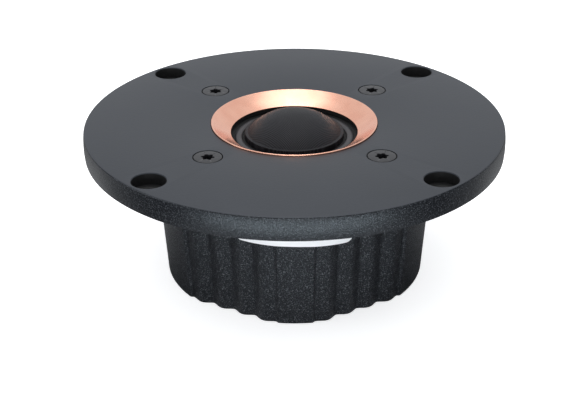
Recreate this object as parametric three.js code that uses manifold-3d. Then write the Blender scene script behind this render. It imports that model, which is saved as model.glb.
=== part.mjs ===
// Soft-dome tweeter: round faceplate, copper-coloured flare, fabric dome and coil on a roll surround,
// a ring-magnet motor, and a fluted cast rear housing with a terminal board.
// Millimetres. +Z points out of the faceplate, -Y is the front of the housing, where its label is.
// The origin is the centre of the housing's base.
import * as THREE from "three";
import { mergeVertices } from "three/addons/utils/BufferGeometryUtils.js";
import Module from "manifold-3d";

const wasm = await Module();
wasm.setup();

// ---------------------------------------------------------------- driving dimensions
const PLATE_BACK = 39.4; // rear face of the faceplate's rim, which lies on a baffle
const PLATE_R = 62.5;
const PLATE_T = 6.9;
const PLATE_TOP = PLATE_BACK + PLATE_T;
const SEAT_DEPTH = 0.7; // the housing's seat is sunk this far into the faceplate's back
const HOUSING_TOP = PLATE_BACK + SEAT_DEPTH;
const SEAT_R = 43.6;

const MOUNT_HOLE_PCR = 56.3; // pitch radius of the four mounting holes
const MOUNT_HOLE_R = 2.6; // clearance for an M5 screw
const COUNTERBORE_R = 4.9;
const COUNTERBORE_DEPTH = 3.4;

const SCREW_PCR = 34.7; // pitch radius of the four M4 screws that hold the tweeter together
const SCREW_SHANK_R = 2.0;
const SCREW_LENGTH = 16;
const SCREW_HEAD_R = 4.05;
const SCREW_HEAD_H = 2.3;
const SCREW_SEAT_R = 4.35; // the countersink at the plate's face
const STAR_R = 1.85; // six-lobe recess
const STAR_DEPTH = 1.8;
const DIAGONALS = [45, 135, 225, 315]; // degrees, shared by screws and mounting holes

const FLARE_OUT_R = 24.75;
const FLARE_PROUD = 0.4; // the flare's lip stands this far above the plate
const FLARE_LIP_W = 0.7;
const FLARE_IN_R = 18.9;
const FLARE_DROP = 2.96; // the flare's inner edge below the plate's face
const FLARE_BOTTOM = PLATE_TOP - 3.3;
const THROAT_R = 19.2; // the plate's opening under the flare

const COIL_R = 14.1; // inside of the voice-coil former
const DOME_BASE_Z = PLATE_TOP - 3.0;
const DOME_APEX_Z = PLATE_TOP + 3.2;
const DOME_WALL = 0.35;

const BASE_R = 39.2; // housing radius at its base
const TOP_R = 42.0; // housing radius under the faceplate
const FLAT_CENTRES = [30, 150, 210, 330]; // degrees from the front, middle of each ribbed flat
const VALLEY_D = 35.8; // centre line to the ribs' valleys, at the base
const VALLEYS = [-14.1, -7.05, 0, 7.05, 14.1]; // the valleys' places along a flat
const RIB_H = 1.3;
const SHOULDER_ANGLE = 3.0; // degrees over which a round stretch drops to the next valley
const WALL = 3.0;
const GASKET_T = 0.5;

const GAP = 0.3; // left between cut neighbours
const RING_GAP = 0.1; // left between concentric round neighbours
const PLATE_SIDES = 72;
const SIDES = 48; // of the other large rounds
const SMALL_SIDES = 16;

// ---------------------------------------------------------------- materials
function finish(color, roughness, metalness) {
  return new THREE.MeshStandardMaterial({ color, roughness, metalness });
}

const BLACK_SATIN = finish(0x4e5157, 0.5, 0.3);
const BLACK_TEXTURED = finish(0x26282c, 0.6, 0.2);
const COPPER = finish(0xe8a77f, 0.25, 1.0);
const BLACK_OXIDE = finish(0x1c1d20, 0.4, 0.8);
const STEEL = finish(0x9a9da1, 0.4, 1.0);
const FERRITE = finish(0x3a3a3c, 0.8, 0.1);
const COATED_FABRIC = finish(0x29292c, 0.7, 0.0);
const FELT = finish(0x55534e, 1.0, 0.0);
const BLACK_PLASTIC = finish(0x18191b, 0.5, 0.0);
const ALUMINIUM = finish(0xb9bcc0, 0.35, 1.0);
const COPPER_WIRE = finish(0xb96a3c, 0.4, 1.0);
const PHENOLIC = finish(0x5b3a20, 0.6, 0.0);
const TINNED_BRASS = finish(0xc9b36b, 0.35, 1.0);
const WHITE_LABEL = finish(0xf2f2f4, 0.5, 0.0);
const RUBBER = finish(0x121213, 0.9, 0.0);
const RED_SLEEVE = finish(0x9c1f1f, 0.6, 0.0);
const BLACK_SLEEVE = finish(0x141414, 0.6, 0.0);

// ---------------------------------------------------------------- solids
const radians = THREE.MathUtils.degToRad;

// A closed three.js geometry as a manifold solid.
function toSolid(geometry) {
  const bare = geometry.clone();
  bare.deleteAttribute("normal");
  bare.deleteAttribute("uv");
  const merged = mergeVertices(bare, 1e-4);
  const index = merged.index.array;
  const triVerts = [];
  for (let i = 0; i < index.length; i += 3) {
    const [a, b, c] = index.slice(i, i + 3);
    if (a !== b && b !== c && c !== a) triVerts.push(a, b, c);
  }
  const vertProperties = Float32Array.from(merged.attributes.position.array);
  return new wasm.Manifold(
    new wasm.Mesh({ numProp: 3, vertProperties, triVerts: Uint32Array.from(triVerts) }),
  );
}

function toGeometry(solid) {
  const mesh = solid.getMesh();
  const geometry = new THREE.BufferGeometry();
  geometry.setAttribute("position", new THREE.BufferAttribute(mesh.vertProperties, 3));
  geometry.setIndex(new THREE.BufferAttribute(mesh.triVerts, 1));
  geometry.computeVertexNormals();
  return geometry;
}

// A profile of [radius, z] points, anticlockwise with the radius to the right, turned about Z.
function turned(profile, sides = SIDES) {
  const points = profile.map(([r, z]) => new THREE.Vector2(r, z));
  if (profile[0][0] > 0) points.push(points[0].clone());
  const geometry = new THREE.LatheGeometry(points, sides);
  return toSolid(geometry.rotateX(Math.PI / 2));
}

function ring(inner, outer, low, high, sides = SIDES) {
  if (inner === 0) return turned([[0, low], [outer, low], [outer, high], [0, high]], sides);
  return turned([[inner, low], [outer, low], [outer, high], [inner, high]], sides);
}

function box(sizeX, sizeY, sizeZ, x, y, z) {
  return toSolid(new THREE.BoxGeometry(sizeX, sizeY, sizeZ).translate(x, y, z));
}

function extruded(outline, low, high) {
  const shape = new THREE.Shape(outline.map(([x, y]) => new THREE.Vector2(x, y)));
  const geometry = new THREE.ExtrudeGeometry(shape, { depth: high - low, bevelEnabled: false });
  return toSolid(geometry.translate(0, 0, low));
}

// An outline carried up through [z, scale] levels.
function lofted(outline, levels) {
  const shape = new THREE.Shape(outline.map(([x, y]) => new THREE.Vector2(x, y)));
  const steps = levels.length - 1;
  const geometry = new THREE.ExtrudeGeometry(shape, { depth: steps, steps, bevelEnabled: false });
  const place = geometry.attributes.position;
  for (let i = 0; i < place.count; i += 1) {
    const [z, scale] = levels[Math.round(place.getZ(i))];
    place.setXYZ(i, place.getX(i) * scale, place.getY(i) * scale, z);
  }
  return toSolid(geometry);
}

function wire(points, radius, steps) {
  const path = new THREE.CatmullRomCurve3(points.map((point) => new THREE.Vector3(...point)));
  const section = new THREE.Shape();
  section.absarc(0, 0, radius, 0, 2 * Math.PI, false);
  return toSolid(
    new THREE.ExtrudeGeometry(section, { steps, extrudePath: path, curveSegments: 3 }),
  );
}

// Places a solid made on the Z axis at the same radius on each of the four diagonals.
function onDiagonals(solid, radius) {
  return DIAGONALS.map((angle) =>
    solid.translate(
      radius * Math.cos(radians(angle)),
      radius * Math.sin(radians(angle)),
      0,
    ),
  );
}

function cutAll(solid, cutters) {
  return cutters.reduce((left, cutter) => left.subtract(cutter), solid);
}

const tweeter = new THREE.Group();

function add(name, solid, material) {
  const mesh = new THREE.Mesh(toGeometry(solid), material);
  mesh.name = name;
  tweeter.add(mesh);
}

// ---------------------------------------------------------------- housing outline
// Point at an angle from the front (-Y), positive towards +X.
function fromFront(radius, angle) {
  return [radius * Math.sin(radians(angle)), -radius * Math.cos(radians(angle))];
}

const FLAT_END = VALLEYS[VALLEYS.length - 1];
const FLAT_HALF_ANGLE = THREE.MathUtils.radToDeg(Math.atan2(FLAT_END, VALLEY_D));
const SHOULDER_DROP = BASE_R - Math.hypot(VALLEY_D, FLAT_END);

// Ribs across one flat: a wave between valleys. The flat's end valleys belong to the round stretches.
function ribbedFlat(centre, pointsPerRib = 8) {
  const points = [];
  for (let rib = 0; rib < VALLEYS.length - 1; rib += 1) {
    const half = (VALLEYS[rib + 1] - VALLEYS[rib]) / 2;
    for (let i = rib === 0 ? 1 : 0; i < pointsPerRib; i += 1) {
      const along = half * ((2 * i) / pointsPerRib - 1);
      const out = VALLEY_D + RIB_H * (0.5 + 0.5 * Math.cos((Math.PI * along) / half));
      const across = VALLEYS[rib] + half + along;
      const turn = THREE.MathUtils.radToDeg(Math.atan2(across, out));
      points.push(fromFront(Math.hypot(out, across), centre + turn));
    }
  }
  return points;
}

// A round stretch with a rounded shoulder down into the valley at each end.
function roundStretch(from, to, step = 4) {
  const shoulder = [0, 0.25, 0.5, 0.75, 1].map((part) => part * SHOULDER_ANGLE);
  const count = Math.max(2, Math.round((to - from - 2 * SHOULDER_ANGLE) / step));
  const middle = [];
  for (let i = 1; i < count; i += 1) {
    middle.push(SHOULDER_ANGLE + ((to - from - 2 * SHOULDER_ANGLE) * i) / count);
  }
  const offsets = [...shoulder, ...middle, ...shoulder.map((part) => to - from - part).reverse()];
  return offsets.map((offset) => {
    const inset = Math.min(offset, to - from - offset, SHOULDER_ANGLE);
    const rise = 0.5 - 0.5 * Math.cos((Math.PI * inset) / SHOULDER_ANGLE);
    return fromFront(BASE_R - SHOULDER_DROP * (1 - rise), from + offset);
  });
}

function housingOutline() {
  const points = [];
  FLAT_CENTRES.forEach((centre, i) => {
    const next = FLAT_CENTRES[i + 1] ?? FLAT_CENTRES[0] + 360;
    points.push(...ribbedFlat(centre));
    points.push(...roundStretch(centre + FLAT_HALF_ANGLE, next - FLAT_HALF_ANGLE));
  });
  return points;
}

const RIM_Z = HOUSING_TOP - GASKET_T;

function housingScale(z) {
  return 1 + ((TOP_R / BASE_R - 1) * z) / HOUSING_TOP;
}

// ---------------------------------------------------------------- motor heights
const TOP_PLATE_T = 4.5;
const MAGNET_T = 14;
const BACK_PLATE_T = 6;
const MOTOR_R = 29.8;
const MAGNET_BORE_R = 18;
const MOTOR_TOP = HOUSING_TOP;
const MAGNET_TOP = MOTOR_TOP - TOP_PLATE_T;
const MAGNET_BOTTOM = MAGNET_TOP - MAGNET_T;
const MOTOR_BOTTOM = MAGNET_BOTTOM - BACK_PLATE_T;

// ---------------------------------------------------------------- diaphragm and its seat
const FORMER_WALL = 0.15;
const FORMER_BOTTOM = MAGNET_TOP + 0.1;
const FORMER_TOP = DOME_BASE_Z - 0.4;
const COIL_IN_R = COIL_R + FORMER_WALL + 0.05;
const COIL_T = 0.45;
const LIP_R = COIL_R + FORMER_WALL + RING_GAP; // inside of the dome's glued skirt
const LIP_WALL = 0.4;
const SURROUND_IN_R = LIP_R + LIP_WALL + 0.12;
const SURROUND_FOOT_R = 17.9;
const SURROUND_OUT_R = 24.9;
const MOUNTING_RING_R = 25.2;
const SURROUND_T = 0.3;
const SURROUND_Z = PLATE_TOP - 5.1; // underside of the surround's flat flange
const LIP_BOTTOM = SURROUND_Z;
const ROLL_H = 0.55;
const RECESS_TOP = SURROUND_Z + SURROUND_T + GAP; // rear recess in the faceplate, over the surround

// ---------------------------------------------------------------- faceplate and its screws
const RECESS_R = 25.6; // rear recess that holds the diaphragm's mounting ring
const LEAD_SLOT = { width: 14, length: 11, y: RECESS_R + 3.5 };
const GASKET_IN_R = 31;
const GASKET_OUT_R = 37.9;

// The way for the two leads from the diaphragm's ring out over the edge of the motor.
function leadSlot() {
  const height = 2 * (RECESS_TOP - HOUSING_TOP);
  return box(LEAD_SLOT.width, LEAD_SLOT.length, height, 0, LEAD_SLOT.y, HOUSING_TOP);
}

function faceplate() {
  const blank = turned([
    [SEAT_R, PLATE_BACK],
    [PLATE_R - 0.25, PLATE_BACK],
    [PLATE_R, PLATE_BACK + 0.25],
    [PLATE_R, PLATE_TOP - 0.5],
    [PLATE_R - 0.4, PLATE_TOP],
    [FLARE_OUT_R + RING_GAP, PLATE_TOP],
    [FLARE_OUT_R + RING_GAP, FLARE_BOTTOM],
    [THROAT_R, FLARE_BOTTOM],
    [THROAT_R, RECESS_TOP],
    [RECESS_R, RECESS_TOP],
    [RECESS_R, HOUSING_TOP],
    [SEAT_R, HOUSING_TOP],
  ], PLATE_SIDES);
  const through = ring(0, MOUNT_HOLE_R, PLATE_BACK - 1, PLATE_TOP + 1, SMALL_SIDES);
  const counterbore = ring(0, COUNTERBORE_R, PLATE_TOP - COUNTERBORE_DEPTH, PLATE_TOP + 1, SMALL_SIDES);
  const seatDepth = SCREW_HEAD_H + GAP;
  const screwSeat = turned([
    [0, PLATE_BACK - 1],
    [SCREW_SHANK_R + GAP, PLATE_BACK - 1],
    [SCREW_SHANK_R + GAP, PLATE_TOP - seatDepth],
    [SCREW_SEAT_R, PLATE_TOP - GAP],
    [SCREW_SEAT_R, PLATE_TOP + 1],
    [0, PLATE_TOP + 1],
  ], SMALL_SIDES);
  return cutAll(blank, [
    ...onDiagonals(through, MOUNT_HOLE_PCR),
    ...onDiagonals(counterbore, MOUNT_HOLE_PCR),
    ...onDiagonals(screwSeat, SCREW_PCR),
    leadSlot(),
  ]);
}

function housingGasket() {
  const screwHole = ring(0, SCREW_SHANK_R + GAP, RIM_Z - 1, HOUSING_TOP + 1, SMALL_SIDES);
  return cutAll(ring(GASKET_IN_R, GASKET_OUT_R, RIM_Z, HOUSING_TOP), [
    ...onDiagonals(screwHole, SCREW_PCR),
    leadSlot(),
  ]);
}

function starOutline() {
  const points = [];
  const perLobe = 4;
  for (let i = 0; i < 6 * perLobe; i += 1) {
    const angle = (2 * Math.PI * i) / (6 * perLobe);
    const radius = STAR_R * (0.86 + 0.14 * Math.cos(6 * angle));
    points.push([radius * Math.cos(angle), radius * Math.sin(angle)]);
  }
  return points;
}

function faceplateScrew() {
  const headTop = PLATE_TOP - 0.05;
  const body = turned([
    [0, PLATE_TOP - SCREW_LENGTH],
    [SCREW_SHANK_R - 0.5, PLATE_TOP - SCREW_LENGTH],
    [SCREW_SHANK_R, PLATE_TOP - SCREW_LENGTH + 0.6],
    [SCREW_SHANK_R, headTop - SCREW_HEAD_H],
    [SCREW_HEAD_R, headTop - 0.25],
    [SCREW_HEAD_R, headTop],
    [0, headTop],
  ], SMALL_SIDES);
  return body.subtract(extruded(starOutline(), headTop - STAR_DEPTH, headTop + 1));
}

// ---------------------------------------------------------------- flare
function trimRing() {
  const top = PLATE_TOP + FLARE_PROUD;
  const throatZ = PLATE_TOP - FLARE_DROP;
  const lipR = FLARE_OUT_R - FLARE_LIP_W;
  return turned([
    [FLARE_IN_R + 0.2, FLARE_BOTTOM],
    [FLARE_OUT_R, FLARE_BOTTOM],
    [FLARE_OUT_R, top - 0.3],
    [FLARE_OUT_R - 0.3, top],
    [lipR + 0.2, top],
    [lipR - 0.2, top - 0.2],
    [FLARE_IN_R + 2.6, throatZ + 1.5],
    [FLARE_IN_R + 0.9, throatZ + 0.45],
    [FLARE_IN_R, throatZ],
  ]);
}

// ---------------------------------------------------------------- diaphragm
function domeRadius() {
  const height = DOME_APEX_Z - DOME_BASE_Z;
  const base = LIP_R + LIP_WALL;
  return (base ** 2 + height ** 2) / (2 * height);
}

function dome(rings = 7) {
  const outerR = domeRadius();
  const innerR = outerR - DOME_WALL;
  const centreZ = DOME_APEX_Z - outerR;
  const outside = LIP_R + LIP_WALL;
  const inside = LIP_R;
  const profile = [[inside, LIP_BOTTOM], [outside, LIP_BOTTOM]];
  const outerAngle = Math.asin(outside / outerR);
  for (let i = 0; i <= rings; i += 1) {
    const angle = outerAngle * (1 - i / rings);
    profile.push([outerR * Math.sin(angle), centreZ + outerR * Math.cos(angle)]);
  }
  const innerAngle = Math.asin(inside / innerR);
  for (let i = 0; i <= rings; i += 1) {
    const angle = (innerAngle * i) / rings;
    profile.push([innerR * Math.sin(angle), centreZ + innerR * Math.cos(angle)]);
  }
  // The profile starts and ends on the axis, so it is turned from its outer apex round to its inner one.
  const apex = profile.findIndex(([r]) => r === 0);
  const fromApex = [...profile.slice(apex + 1), ...profile.slice(0, apex + 1)];
  return turned(fromApex);
}

function surround(steps = 6) {
  const middle = (SURROUND_IN_R + 0.3 + SURROUND_FOOT_R) / 2;
  const half = (SURROUND_FOOT_R - SURROUND_IN_R - 0.3) / 2;
  const under = [];
  const over = [];
  for (let i = 0; i <= steps; i += 1) {
    const angle = Math.PI * (1 - i / steps);
    const r = middle + half * Math.cos(angle);
    const z = SURROUND_Z + ROLL_H * Math.sin(angle);
    under.push([r, z]);
    over.push([r, z + SURROUND_T]);
  }
  return turned([
    [SURROUND_IN_R, SURROUND_Z],
    ...under,
    [SURROUND_OUT_R, SURROUND_Z],
    [SURROUND_OUT_R, SURROUND_Z + SURROUND_T],
    ...over.reverse(),
    [SURROUND_IN_R, SURROUND_Z + SURROUND_T],
  ]);
}

// ---------------------------------------------------------------- motor
const POLE_R = 13.1;
const POLE_BORE_R = 5;
const SPIGOT_R = 9; // the pole's foot, in the back plate's bore
const CAP_R = 13.6;
const CAP_SKIRT = 4; // how far the cap reaches below the front plate
const CAP_TOP = MOTOR_TOP + 0.5;

function polePiece() {
  return turned([
    [POLE_BORE_R, MOTOR_BOTTOM],
    [SPIGOT_R, MOTOR_BOTTOM],
    [SPIGOT_R, MAGNET_BOTTOM],
    [POLE_R, MAGNET_BOTTOM],
    [POLE_R, MOTOR_TOP],
    [POLE_BORE_R, MOTOR_TOP],
  ]);
}

function shortingCap() {
  return turned([
    [POLE_R + RING_GAP, MAGNET_TOP - CAP_SKIRT],
    [CAP_R, MAGNET_TOP - CAP_SKIRT],
    [CAP_R, CAP_TOP],
    [POLE_BORE_R, CAP_TOP],
    [POLE_BORE_R, MOTOR_TOP],
    [POLE_R + RING_GAP, MOTOR_TOP],
  ]);
}

// ---------------------------------------------------------------- rear housing
const FLOOR_T = 3;
const BOSS_R = 4.4;
const SHOULDER_R = 7.6;
const TERMINAL_Z = 26; // middle of the terminal board
const PAD_Y = 42.4; // rear face of the cast pad behind the board
const PAD_W = 28;
const PAD_H = 17;
const PAD_DEPTH = 12;
const RIVET_X = 7;
const RIVET_R = 1.5;
const RIVET_HOLE_R = 1.9;
const DAMPING_R = 26;

// A cylinder along Y at one of the two rivets.
function alongRivet(side, radius, length, y) {
  const cylinder = new THREE.CylinderGeometry(radius, radius, length, SMALL_SIDES);
  return toSolid(cylinder.translate(side * RIVET_X, y, TERMINAL_Z));
}

function rearHousing() {
  const edge = 0.35; // rounding round the base
  const shell = lofted(housingOutline(), [
    [0, 1 - edge / BASE_R],
    [0.3 * edge, 1 - (0.3 * edge) / BASE_R],
    [edge, housingScale(edge)],
    [RIM_Z, housingScale(RIM_Z)],
  ]);
  const pad = box(PAD_W, PAD_DEPTH, PAD_H, 0, PAD_Y - PAD_DEPTH / 2, TERMINAL_Z);
  const cavity = turned([
    [0, FLOOR_T],
    [VALLEY_D - WALL, FLOOR_T],
    [VALLEY_D - WALL + 2.2, RIM_Z + 1],
    [0, RIM_Z + 1],
  ]);
  const bosses = onDiagonals(ring(0, BOSS_R, FLOOR_T, RIM_Z, SMALL_SIDES), SCREW_PCR);
  const shoulders = onDiagonals(ring(0, SHOULDER_R, FLOOR_T, MOTOR_BOTTOM, SMALL_SIDES), SCREW_PCR);
  const hollow = cutAll(cavity, [...bosses, ...shoulders]);
  const threads = onDiagonals(
    ring(0, SCREW_SHANK_R + GAP, PLATE_TOP - SCREW_LENGTH - 2, RIM_Z + 1, SMALL_SIDES),
    SCREW_PCR,
  );
  const rivetHoles = [-1, 1].map((side) => alongRivet(side, RIVET_HOLE_R, 20, PAD_Y));
  return cutAll(shell.add(pad), [hollow, ...threads, ...rivetHoles]);
}

// ---------------------------------------------------------------- terminals
const BOARD_T = 1.6;
const BOARD_W = 26;
const BOARD_H = 15;
const TAB_T = 0.8;
const BLADE_LENGTH = 8;
const TAB_FOOT_W = 6;
const TAB_FOOT_LOW = TERMINAL_Z - 4.7;
const TAB_FOOT_HIGH = TERMINAL_Z + 3.5;
const POSITIVE_BLADE_W = 4.8;
const NEGATIVE_BLADE_W = 2.8;

function terminalBoard() {
  const board = box(BOARD_W, BOARD_T, BOARD_H, 0, PAD_Y + BOARD_T / 2, TERMINAL_Z);
  return cutAll(board, [-1, 1].map((side) => alongRivet(side, RIVET_R + GAP, 8, PAD_Y)));
}

// A tab: a foot under the rivet's head and a blade bent straight out to the rear.
function terminalTab(side, bladeWidth) {
  const x = side * RIVET_X;
  const low = PAD_Y + BOARD_T;
  const footHeight = TAB_FOOT_HIGH - TAB_FOOT_LOW;
  const foot = box(TAB_FOOT_W, TAB_T, footHeight, x, low + TAB_T / 2, TAB_FOOT_LOW + footHeight / 2);
  const blade = box(bladeWidth, BLADE_LENGTH, TAB_T, x, low + BLADE_LENGTH / 2, TAB_FOOT_LOW + TAB_T / 2);
  return foot.add(blade).subtract(alongRivet(side, RIVET_R + GAP, 4, low));
}

function rivet(side) {
  const headR = 2.3;
  const headY = PAD_Y + BOARD_T + TAB_T;
  const profile = [
    [0, PAD_Y - 5],
    [RIVET_R, PAD_Y - 5],
    [RIVET_R, headY],
    [headR, headY],
    [headR * 0.75, headY + 0.7],
    [0, headY + 0.9],
  ];
  const points = profile.map(([r, y]) => new THREE.Vector2(r, y));
  const geometry = new THREE.LatheGeometry(points, SMALL_SIDES);
  return toSolid(geometry).translate(side * RIVET_X, 0, TERMINAL_Z);
}

// ---------------------------------------------------------------- leads
const LEAD_Z = HOUSING_TOP + 0.75;

const LEAD_R = 0.55;
const TINSEL_R = 0.2;

function lead(side) {
  return wire([
    [side * 3.4, SURROUND_OUT_R + 0.7, LEAD_Z],
    [side * 3.6, MOTOR_R - 1.6, LEAD_Z],
    [side * 4.4, MOTOR_R + 1.7, LEAD_Z - 1.2],
    [side * 5.4, MOTOR_R + 2.4, LEAD_Z - 6],
    [side * 6.6, MOTOR_R + 2.2, TERMINAL_Z + 4],
    [side * RIVET_X, MOTOR_R + 3.0, TERMINAL_Z + 0.6],
    [side * RIVET_X, PAD_Y - 5.4, TERMINAL_Z],
  ], LEAD_R, 18);
}

// Fine braid from the coil to the mounting ring, under the surround.
function tinsel(side) {
  return wire([
    [side * 1.6, LIP_R + LIP_WALL + 0.35, SURROUND_Z - 0.5],
    [side * 2.4, LIP_R + 1.9, SURROUND_Z - 0.75],
    [side * 3.4, SURROUND_FOOT_R - 0.35, SURROUND_Z - 0.5],
  ], TINSEL_R, 5);
}

// ---------------------------------------------------------------- label
const LABEL_LOW = PLATE_TOP - 19.9;
const LABEL_HIGH = PLATE_TOP - 8.4;
const LABEL_CLEAR = 0.3;
const LABEL_T = 0.3;
const LABEL_FROM = -26;
const LABEL_TO = 24.5;
const LABEL_ROUND = 6; // degrees each side of the front over which the label lies on the round stretch
const LABEL_FALL = 2.1; // from there it bends in by this much, down to the ribs' crests

function labelLine(clear) {
  const points = [];
  const count = 24;
  for (let i = 0; i <= count; i += 1) {
    const angle = LABEL_FROM + ((LABEL_TO - LABEL_FROM) * i) / count;
    const past = Math.max(0, Math.abs(angle) - LABEL_ROUND) / (Math.abs(LABEL_FROM) - LABEL_ROUND);
    points.push(fromFront(BASE_R + clear - LABEL_FALL * past ** 1.6, angle));
  }
  return points;
}

function label() {
  const outline = [...labelLine(LABEL_CLEAR + LABEL_T), ...labelLine(LABEL_CLEAR).reverse()];
  return lofted(outline, [
    [LABEL_LOW, housingScale(LABEL_LOW)],
    [LABEL_HIGH, housingScale(LABEL_HIGH)],
  ]);
}

// ---------------------------------------------------------------- assembly
add("faceplate", faceplate(), BLACK_SATIN);
onDiagonals(faceplateScrew(), SCREW_PCR).forEach((solid, i) => {
  add(`faceplate_screw_${i + 1}`, solid, BLACK_OXIDE);
});
add("trim_ring", trimRing(), COPPER);

add("dome", dome(), COATED_FABRIC);
add("voice_coil_former", ring(COIL_R, COIL_R + FORMER_WALL, FORMER_BOTTOM, FORMER_TOP), ALUMINIUM);
add("voice_coil", ring(COIL_IN_R, COIL_IN_R + COIL_T, MAGNET_TOP + 0.4, MOTOR_TOP - 0.4), COPPER_WIRE);
add("surround", surround(), COATED_FABRIC);
add("mounting_ring", ring(SURROUND_FOOT_R + 0.1, MOUNTING_RING_R, HOUSING_TOP, SURROUND_Z), BLACK_PLASTIC);
add("tinsel_lead_left", tinsel(-1), COPPER_WIRE);
add("tinsel_lead_right", tinsel(1), COPPER_WIRE);

add("front_plate", ring(COIL_R + 1.35, MOTOR_R, MAGNET_TOP, MOTOR_TOP), STEEL);
add("magnet_ring", ring(MAGNET_BORE_R, MOTOR_R - 0.5, MAGNET_BOTTOM, MAGNET_TOP), FERRITE);
add("back_plate", ring(SPIGOT_R + RING_GAP, MOTOR_R, MOTOR_BOTTOM, MAGNET_BOTTOM), STEEL);
add("pole_piece", polePiece(), STEEL);
add("shorting_cap", shortingCap(), COPPER_WIRE);
add("pole_damper", ring(0, POLE_BORE_R - 0.2, MOTOR_BOTTOM + 2, MOTOR_TOP - 3, SMALL_SIDES), FELT);

add("rear_housing", rearHousing(), BLACK_TEXTURED);
add("chamber_damping", ring(0, DAMPING_R, FLOOR_T, MOTOR_BOTTOM - 3), FELT);
add("housing_gasket", housingGasket(), RUBBER);

add("terminal_board", terminalBoard(), PHENOLIC);
add("terminal_positive", terminalTab(1, POSITIVE_BLADE_W), TINNED_BRASS);
add("terminal_negative", terminalTab(-1, NEGATIVE_BLADE_W), TINNED_BRASS);
add("rivet_positive", rivet(1), TINNED_BRASS);
add("rivet_negative", rivet(-1), TINNED_BRASS);
add("lead_positive", lead(1), RED_SLEEVE);
add("lead_negative", lead(-1), BLACK_SLEEVE);
add("label", label(), WHITE_LABEL);

export default tweeter;
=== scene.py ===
"""Looks for the soft-dome tweeter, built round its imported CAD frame.

Metres, +Z out of the faceplate, -Y towards the side with the label. Lengths below are written in
millimetres times MM. Heights and radii come from the frame's own boxes wherever a node gives them.
"""

import math

import bmesh
import bpy
from mathutils import Euler, Matrix, Vector


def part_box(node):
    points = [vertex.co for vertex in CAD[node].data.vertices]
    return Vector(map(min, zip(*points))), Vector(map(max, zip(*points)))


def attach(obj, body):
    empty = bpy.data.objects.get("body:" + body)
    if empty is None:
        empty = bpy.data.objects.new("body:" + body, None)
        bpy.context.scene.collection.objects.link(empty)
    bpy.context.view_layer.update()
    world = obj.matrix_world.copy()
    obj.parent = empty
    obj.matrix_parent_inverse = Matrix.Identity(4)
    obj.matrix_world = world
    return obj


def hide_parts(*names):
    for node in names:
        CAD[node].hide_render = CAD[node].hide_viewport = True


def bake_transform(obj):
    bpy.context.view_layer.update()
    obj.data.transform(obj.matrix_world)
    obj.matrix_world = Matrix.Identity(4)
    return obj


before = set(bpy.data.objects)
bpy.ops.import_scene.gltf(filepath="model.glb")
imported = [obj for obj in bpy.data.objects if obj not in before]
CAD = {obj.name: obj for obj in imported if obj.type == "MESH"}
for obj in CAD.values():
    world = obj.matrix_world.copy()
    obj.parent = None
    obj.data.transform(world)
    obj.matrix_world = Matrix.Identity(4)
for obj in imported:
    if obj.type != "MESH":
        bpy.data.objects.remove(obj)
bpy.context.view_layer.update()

MM = 0.001

# ------------------------------------------------------------------ sizes read from the frame
plate_low, plate_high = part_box("faceplate")
PLATE_R = plate_high.x
PLATE_TOP = plate_high.z
PLATE_BACK = plate_low.z
flare_low, flare_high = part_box("trim_ring")
dome_low, dome_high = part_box("dome")
surround_low, surround_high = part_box("surround")
label_low, label_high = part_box("label")
board_low, board_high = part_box("terminal_board")
SEAT_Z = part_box("housing_gasket")[1].z
RIM_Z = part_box("rear_housing")[1].z
MOTOR_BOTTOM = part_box("back_plate")[0].z

DIAGONALS = [math.radians(a) for a in (45, 135, 225, 315)]
MOUNT_HOLE_PCR = 56.3 * MM
SCREW_PCR = 34.7 * MM
CLEAR = 1 * MM  # how far a cutter reaches past the face that it opens
ON_AXIS = 1e-9


# ------------------------------------------------------------------ mesh helpers
def mesh_object(name, vertices, faces):
    """An object in the scene from plain lists of points and of corners."""
    mesh = bpy.data.meshes.new(name)
    mesh.from_pydata(vertices, [], faces)
    mesh.validate()
    obj = bpy.data.objects.new(name, mesh)
    bpy.context.scene.collection.objects.link(obj)
    return obj


def face_outwards(obj):
    """Every face of a closed body turned to its outside."""
    work = bmesh.new()
    work.from_mesh(obj.data)
    bmesh.ops.recalc_face_normals(work, faces=work.faces)
    work.to_mesh(obj.data)
    work.free()


def soften(obj, angle):
    """Smooth shading, kept sharp where two faces meet at more than this angle in degrees."""
    for polygon in obj.data.polygons:
        polygon.use_smooth = True
    obj.data.set_sharp_from_angle(angle=math.radians(angle))


def filleted(corners, closed=True, steps=5):
    """A profile from (r, z, fillet radius) corners: each corner becomes an arc of its radius."""
    count = len(corners)
    points = []
    for i, (r, z, radius) in enumerate(corners):
        here = Vector((r, z))
        inner = closed or 0 < i < count - 1
        if radius <= 0 or not inner:
            points.append((r, z))
            continue
        before = Vector(corners[i - 1][:2])
        after = Vector(corners[(i + 1) % count][:2])
        to_before = (before - here).normalized()
        to_after = (after - here).normalized()
        half = to_before.angle(to_after) / 2
        reach = radius / math.tan(half)
        centre = here + (to_before + to_after).normalized() * (radius / math.sin(half))
        start = here + to_before * reach
        end = here + to_after * reach
        for k in range(steps + 1):
            outward = (start - centre).slerp(end - centre, k / steps).normalized()
            points.append(tuple(centre + outward * radius))
    return points


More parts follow.
